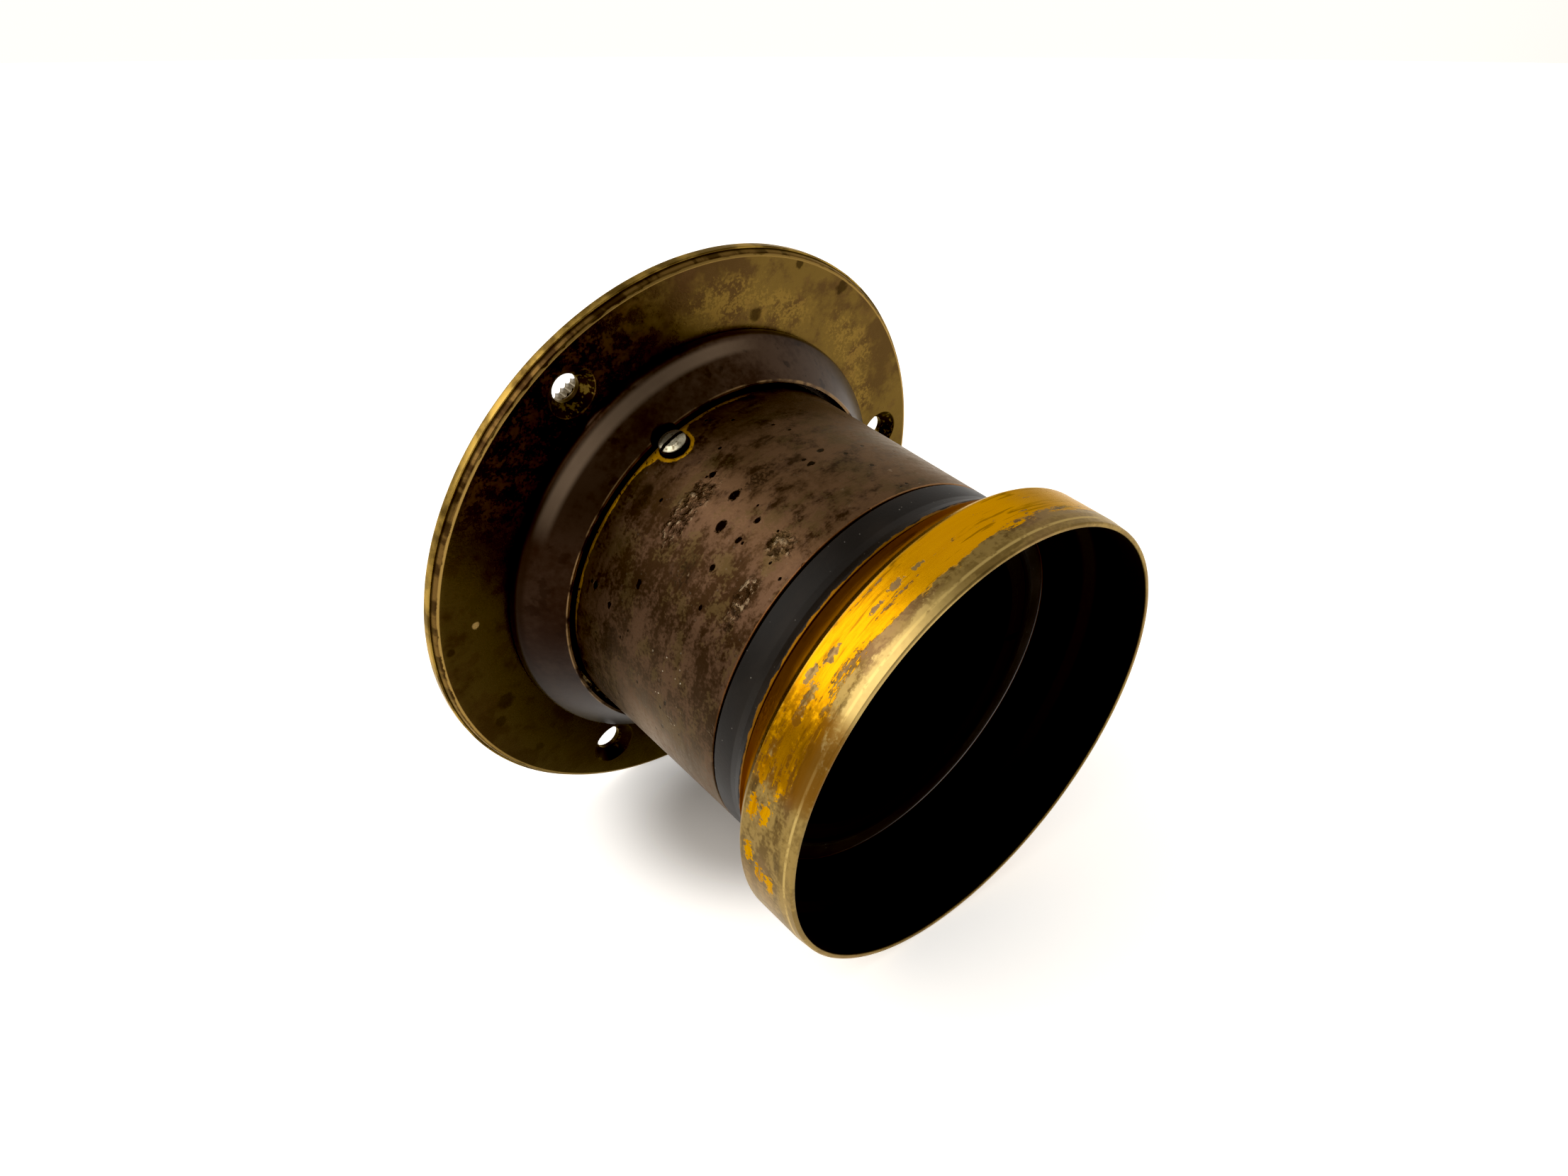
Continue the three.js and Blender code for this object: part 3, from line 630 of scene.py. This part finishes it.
PAINTS = {
    "aged_brass": aged_brass(), "collar_patina": collar_patina(), "bare_brass": bare_brass(),
    "bronzed_barrel": bronzed_barrel(), "nickelled_screw": nickelled_screw(), "flat_black": flat_black(),
    "black_enamel": black_enamel(), "gold_lacquer": gold_lacquer(),
    # the glasses' grey tint is painted shade that keeps the lens's inside dark
    "crown_glass": optical_glass("crown_glass", (0.34, 0.37, 0.36, 1), 1.52),
    "flint_glass": optical_glass("flint_glass", (0.37, 0.37, 0.35, 1), 1.62),
}
FRONT_GLASS = optical_glass("front_glass", (0.34, 0.37, 0.36, 1), 1.003)     # mirrors nothing of the floor

# ------------------------------------------------------------ the pieces


def flange():
    profile = rounded([
        (FLANGE_R, -FLANGE_THICK, 0.3), (FLANGE_R, LIP_FRONT, 0.15), (FLANGE_R - 0.3, LIP_FRONT),
        (FLANGE_R - 0.55, -0.25, 0.2), (FLANGE_R - 1.0, 0, 0.3), (BORE_R, 0, 0.1),
        (BORE_R, -FLANGE_THICK, 0.1),
    ])
    dents = wobble(5, 0.05, 2.0)

    def dented_edge(radius, angle, y):
        return (min(0, dents(radius, angle, y)) if radius > FLANGE_R - 0.2 else 0), 0

    plate = turned("mounting_flange", profile, 384, dented_edge)
    drills = []
    for angle in map(math.radians, HOLE_ANGLES):
        drill = turned("drill", [
            (0, -4), (HOLE_R, -4), (HOLE_R, HOLE_R - COUNTERSINK_R), (COUNTERSINK_R, 0),
            (COUNTERSINK_R + 1, 1), (0, 1),
        ], 96)
        where = Vector((math.sin(angle), math.cos(angle), 0)) * HOLE_CIRCLE_R / 1000
        drills.append(moved(drill, Matrix.Translation(where)))
    return cut(plate, drills)


def collar():
    profile = rounded([
        (BORE_R, SEAT), (COLLAR_BASE_R, SEAT, 0.1), (COLLAR_BASE_R, 1.5, 2.4),
        (COLLAR_FRONT_R + 0.1, COLLAR_HEIGHT, 0.2), (BORE_R, COLLAR_HEIGHT, 0.05),
    ], 8)
    notch = moved(rod("notch", NOTCH_R, BARREL_R - 1, COLLAR_BASE_R + 2), out_through(SCREW_ANGLE, SCREW_Y))
    return cut(turned("flange_collar", profile, 384), [notch])


def screw():
    seat = BARREL_R + FIT
    top, tip = seat + SCREW_HEAD_HEIGHT, BARREL_R - BARREL_WALL - SEAT - SCREW_REACH
    body = turned("locking_screw", rounded([
        (0, tip), (SCREW_SHANK_R, tip, 0.15), (SCREW_SHANK_R, seat), (SCREW_HEAD_R, seat, 0.1),
        (SCREW_HEAD_R, top - 0.35, 0.3), (SCREW_HEAD_R * 0.6, top - 0.06, 0.8), (0, top),
    ]), 128)
    return cut(body, [block("slot", (SCREW_HEAD_R * 3, SLOT_WIDTH, 2 * SLOT_DEPTH), (0, 0, top))])


def screw_hole():
    """Cuts the locking screw's hole through the barrel and the stop ring."""
    hole = rod("hole", SCREW_SHANK_R + FIT, GLASS_R - 3, BARREL_R + 2)
    return moved(hole, out_through(SCREW_ANGLE, SCREW_Y))


def barrel():
    inner = BARREL_R - BARREL_WALL
    return cut(turned("barrel_tube", rounded([
        (BARREL_R, BARREL_REAR, 0.15), (BARREL_R, BARREL_FRONT, 0.2), (inner, BARREL_FRONT),
        (inner, BARREL_REAR),
    ]), 384), [screw_hole()])


def stop_ring():
    outer = BARREL_R - BARREL_WALL - SEAT
    plate_front = STOP_REAR + STOP_PLATE
    return cut(turned("stop_ring", [
        (outer, STOP_REAR), (outer, STOP_FRONT), (outer - 1.6, STOP_FRONT), (outer - 1.6, plate_front),
        (STOP_R + 0.6, plate_front), (STOP_R, STOP_REAR),
    ]), [screw_hole()])


def front_cell():
    return turned("front_cell", rounded([
        (CELL_SPIGOT_R, CELL_REAR), (CELL_SPIGOT_R, BARREL_FRONT + FIT), (BARREL_R, BARREL_FRONT + FIT, 0.12),
        (BARREL_R, BARREL_FRONT + 3.4, 1.0), (BARREL_R + 0.25, BARREL_FRONT + 4.6, 0.8),
        (BARREL_R + 0.75, BARREL_FRONT + 5.7, 0.4), (HOOD_THROAT_R - SEAT, NOSE_FRONT - SEAT, 0.1),
        (NOSE_R - 0.3, NOSE_FRONT, 0.1), (GLASS_BORE_R + SEAT, NOSE_FRONT), (GLASS_BORE_R, NOSE_FRONT - 0.4),
        (GLASS_BORE_R, CELL_REAR + 1), (GLASS_SHOULDER_R, CELL_REAR + 1), (GLASS_SHOULDER_R, CELL_REAR),
    ]), 320)


def hood():
    wall = HOOD_R - HOOD_BORE_R
    dents = wobble(9, 0.06, 5.0)

    def dented_mouth(radius, angle, y):
        """Dents that fade towards the ridge."""
        return min(0, dents(radius, angle, y)) * max(0, y - HOOD_RIDGE) / 9, 0

    return turned("lens_hood", rounded(densified(rounded([
        (HOOD_THROAT_R + 0.5, HOOD_BACK, 0.15), (HOOD_THROAT_R + 1.75, HOOD_BACK + 1.9, 1.5),
        (HOOD_R - 0.35, HOOD_RIDGE, 0.25), (HOOD_R, HOOD_RIDGE + 0.5, 0.3), (HOOD_R, HOOD_EDGE - 1.6, 1.0),
        (HOOD_R - 0.2, HOOD_FRONT - 0.15, 0.15), (HOOD_R - wall / 2, HOOD_FRONT, 0.1),
        (HOOD_BORE_R, HOOD_FRONT, 0.15), (HOOD_BORE_R, HOOD_RIDGE + 0.9, 0.8),
        (HOOD_THROAT_R + 1.1, HOOD_BACK + 2.4, 0.8), (NOSE_R - 0.5, HOOD_BACK + 0.9, 0.2),
        (NOSE_R - 0.5, NOSE_FRONT + SEAT), (HOOD_THROAT_R, NOSE_FRONT + SEAT),
    ]), 1.0)), 320, dented_mouth)


def retaining_ring(end, face):
    """The ring at the front or rear end, whose slotted face looks forwards at 1 and back at -1."""
    outer, shut, opened = GLASS_BORE_R - SEAT, RING_SHUT[end], RING_OPENED[end]
    ring = turned(f"{end}_retaining_ring", [
        (outer, shut), (outer, opened), (outer - 1.5, opened), (outer - 2, opened - face * 0.5),
        (outer - 2, shut),
    ])
    return cut(ring, [block("slot", (outer * 3, 1.1, 1.2), (0, 0, opened))])


def lens_surface(edge_y, curve_r, bulge, steps=24):
    """A spherical surface from the glass's edge to its middle."""

    def drop(radius):
        return curve_r - math.sqrt(curve_r ** 2 - radius ** 2)

    radii = [GLASS_R * (1 - k / steps) for k in range(steps + 1)]
    return [(r, edge_y + bulge * (drop(GLASS_R) - drop(r))) for r in radii]


def glass(name, rear, front):
    return turned(name, rear[::-1] + front, 192)


def rear_cell():
    return turned("rear_cell", rounded([
        (CELL_SPIGOT_R, RIM_FRONT), (CELL_SPIGOT_R, REAR_SHOULDER_FRONT),
        (GLASS_SHOULDER_R, REAR_SHOULDER_FRONT), (GLASS_SHOULDER_R, REAR_SHOULDER_BACK),
        (GLASS_BORE_R, REAR_SHOULDER_BACK),
        (GLASS_BORE_R, RIM_REAR + 0.4), (GLASS_BORE_R + 0.4, RIM_REAR), (RIM_R - 1.0, RIM_REAR, 0.2),
        (RIM_R - 0.6, RIM_REAR + 0.4, 0.2), (RIM_R - 0.6, RIM_FRONT - 0.4, 0.2),
        (RIM_R - 1.0, RIM_FRONT, 0.2),
    ]))


def milled_rim():
    """The straight teeth round the rear cell."""

    def tooth(radius, angle, y):
        return (-RIM_DEPTH * abs(math.sin(angle * MILLING_TEETH / 2)) if radius > RIM_R - 0.3 else 0), 0

    return turned("rear_cell_milling", [
        (RIM_R - 1.6, RIM_REAR + 0.4), (RIM_R - 0.6, RIM_REAR + 0.4), (RIM_R - 0.1, RIM_REAR + 0.4),
        (RIM_R, RIM_REAR + 0.5), (RIM_R, RIM_FRONT - 0.5), (RIM_R - 0.1, RIM_FRONT - 0.4),
        (RIM_R - 0.6, RIM_FRONT - 0.4), (RIM_R - 1.6, RIM_FRONT - 0.4),
    ], MILLING_TEETH * 6, tooth)


def thread_ring():
    inner = BARREL_R + 0.1
    return turned("barrel_thread_ring", [
        (inner, THREAD_RING_REAR), (THREAD_RING_R, THREAD_RING_REAR), (THREAD_RING_R, THREAD_RING_FRONT),
        (inner, THREAD_RING_FRONT),
    ])


def front_crown():
    return glass("front_crown_element", lens_surface(CEMENTED_FRONT, CEMENTED_CURVE_R, -1),
                 lens_surface(FRONT_CROWN_FRONT, FRONT_CURVE_R, 1))


def front_flint():
    return glass("front_flint_element", [(GLASS_R, FRONT_FLINT_REAR), (0, FRONT_FLINT_REAR)],
                 lens_surface(CEMENTED_REAR, CEMENTED_CURVE_R, -1))


def rear_flint():
    return glass("rear_flint_element", lens_surface(REAR_FLINT_REAR, FLINT_REAR_CURVE_R, 1),
                 lens_surface(REAR_FLINT_FRONT, FLINT_FRONT_CURVE_R, 1))


def rear_crown():
    return glass("rear_crown_element", lens_surface(REAR_CROWN_REAR, CROWN_REAR_CURVE_R, -1),
                 lens_surface(REAR_CROWN_FRONT, CROWN_FRONT_CURVE_R, 1))


def rear_spacer():
    """A ring between the rear glasses, with a bevel for the crown's curve."""
    back, front = REAR_CROWN_FRONT + SEAT, REAR_FLINT_REAR - SEAT
    return turned("rear_spacer_ring", [
        (GLASS_R, back), (GLASS_R, front), (GLASS_R - 0.8, front), (GLASS_R - 0.8, back + 0.3),
        (GLASS_R - 0.4, back),
    ])


# Each piece with the CAD node that it stands for, the body that it rides on and its material.
PIECES = [
    (flange(), "mounting_flange", "lens_body", "aged_brass"),
    (collar(), "flange_collar", "lens_body", "collar_patina"),
    (thread_ring(), "barrel_thread_ring", "lens_body", "bare_brass"),
    (barrel(), "barrel_tube", "lens_body", "bronzed_barrel"),
    (stop_ring(), "stop_ring", "lens_body", "flat_black"),
    (front_cell(), "front_cell", "front_cell_group", "black_enamel"),
    (hood(), "lens_hood", "front_cell_group", "gold_lacquer"),
    (retaining_ring("front", 1), "front_retaining_ring", "front_cell_group", "flat_black"),
    (front_crown(), "front_crown_element", "front_glass_group", "crown_glass"),
    (front_flint(), "front_flint_element", "front_glass_group", "flint_glass"),
    (rear_cell(), "rear_cell", "rear_cell_group", "bare_brass"),
    (milled_rim(), "rear_cell", "rear_cell_group", "bare_brass"),
    (rear_flint(), "rear_flint_element", "rear_glass_group", "flint_glass"),
    (rear_crown(), "rear_crown_element", "rear_glass_group", "crown_glass"),
    (rear_spacer(), "rear_spacer_ring", "rear_glass_group", "flat_black"),
    (retaining_ring("rear", -1), "rear_retaining_ring", "rear_cell_group", "flat_black"),
    (moved(screw(), out_through(SCREW_ANGLE, SCREW_Y)), "locking_screw", "screw_group", "nickelled_screw"),
]

for obj, node, body, paint in PIECES:
    moved(obj, LENS)
    obj.data.materials.clear()
    obj.data.materials.append(FRONT_GLASS if body == "front_glass_group" else PAINTS[paint])
    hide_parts(node)
    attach(obj, body)

# ------------------------------------------------------------ the sweep, the lights and the camera

FLOOR_R = 4000.0
FLOOR_GLOW = 0.62                                        # lifts the floor to white away from the shade
SHADE_R, SHADE_Y = 24.0, 8.0                             # the shade on the floor beneath the barrel


def floor_disc():
    sides = 96
    rim = [(FLOOR_R * math.cos(2 * math.pi * k / sides), FLOOR_R * math.sin(2 * math.pi * k / sides), 0)
           for k in range(sides)]
    return mesh_object("floor", rim, [tuple(range(sides))])


paper = Paint("paper", Matrix.Identity(4))
floor = floor_disc()
# painted shade: the floor is greyer far off towards +X and darker towards the dim side
far = paper.radius.ramp(700, 3000) * paper.x.ramp(-300, 700)
pale = paper.mix(far, display(230, 228, 225), display(196, 189, 183))
dim_side = (paper.x * -0.67 + paper.y * -0.74).ramp(300, 700)
pale = paper.mix(dim_side, pale, display(120, 116, 110))
aside, along = paper.x / SHADE_R, (paper.y - SHADE_Y) / SHADE_R
shade = paper.math("SQRT", aside * aside + along * along).ramp(1.15, 0.45)
floor.data.materials.append(paper.finish(pale, 0.0, 0.9, None, Emission_Color=(1, 0.98, 0.95, 1),
                                         Emission_Strength=(1 - shade) * FLOOR_GLOW))

# The studio is a room with a broad bright window of two panes, a paler wall behind the lens and a dim side.
KEY, KEY_FRONT = Vector((-0.66, 0.40, 0.64)), Vector((-0.76, -0.12, 0.62))
BACKDROP, DIM_SIDE = Vector((0.57, 0.82, 0.0)), Vector((-0.55, -0.8, 0.25))
ROOM_LIGHT, KEY_LIGHT, BACKDROP_LIGHT, DIMMING = 0.75, 2.4, 0.33, 0.70
SUN_LIGHT, SUN_SPREAD = 0.1, math.radians(35)

world = bpy.data.worlds.new("studio")
bpy.context.scene.world = world
world.use_nodes = True
sky = world.node_tree
background = next(n for n in sky.nodes if n.type == "BACKGROUND")


class Sky(Paint):
    """The world's shader. Its coordinates are the direction that is looked in."""

    def __init__(self, tree):
        self.tree = tree
        self.point = self.node("ShaderNodeTexCoord").outputs["Generated"]

    def lobe(self, direction, low, high):
        """0 to 1 as the direction looked in nears this one, between these cosines."""
        cosine = self.vector_math("DOT_PRODUCT", self.point, tuple(direction.normalized()))
        return self.ramp(cosine, low, high)


room = Sky(sky)
low = room.lobe(Vector((0, 0, 1)), 0.20, 0.06)
light = room.lobe(BACKDROP, 0.55, 0.88) * low * BACKDROP_LIGHT + ROOM_LIGHT
light = light * (1 - room.lobe(DIM_SIDE, -0.1, 0.8) * DIMMING)
window = room.lobe(KEY, 0.80, 0.96) + room.lobe(KEY_FRONT, 0.86, 0.97)
light = light + window.clamped() * KEY_LIGHT
sky.links.new(light.socket, background.inputs["Strength"])
background.inputs["Color"].default_value = display(255, 250, 243)

sun_data = bpy.data.lights.new("sun", "SUN")
sun_data.angle, sun_data.energy = SUN_SPREAD, SUN_LIGHT
sun = bpy.data.objects.new("sun", sun_data)
sun.rotation_euler = (-KEY).to_track_quat("-Z", "Y").to_euler()
bpy.context.scene.collection.objects.link(sun)

CAMERA_PLACE = Vector((-0.10191, -0.110268, 0.110846))   # in metres
CAMERA_AZIMUTH, CAMERA_DOWN = math.radians(41.960), math.radians(24.988)
camera_data = bpy.data.cameras.new("camera")
camera_data.lens, camera_data.sensor_width = 28.101, 36.0
camera_data.clip_start = 0.005                           # in metres
camera = bpy.data.objects.new("camera", camera_data)
camera.location = CAMERA_PLACE
camera.rotation_euler = (math.pi / 2 - CAMERA_DOWN, 0, -CAMERA_AZIMUTH)
bpy.context.scene.collection.objects.link(camera)
bpy.context.scene.camera = camera
view = bpy.context.scene.view_settings
view.view_transform = "Standard"
view.use_curve_mapping = True                            # takes the darkest tones down to black
view.curve_mapping.black_level = (0.002, 0.003, 0.0035)
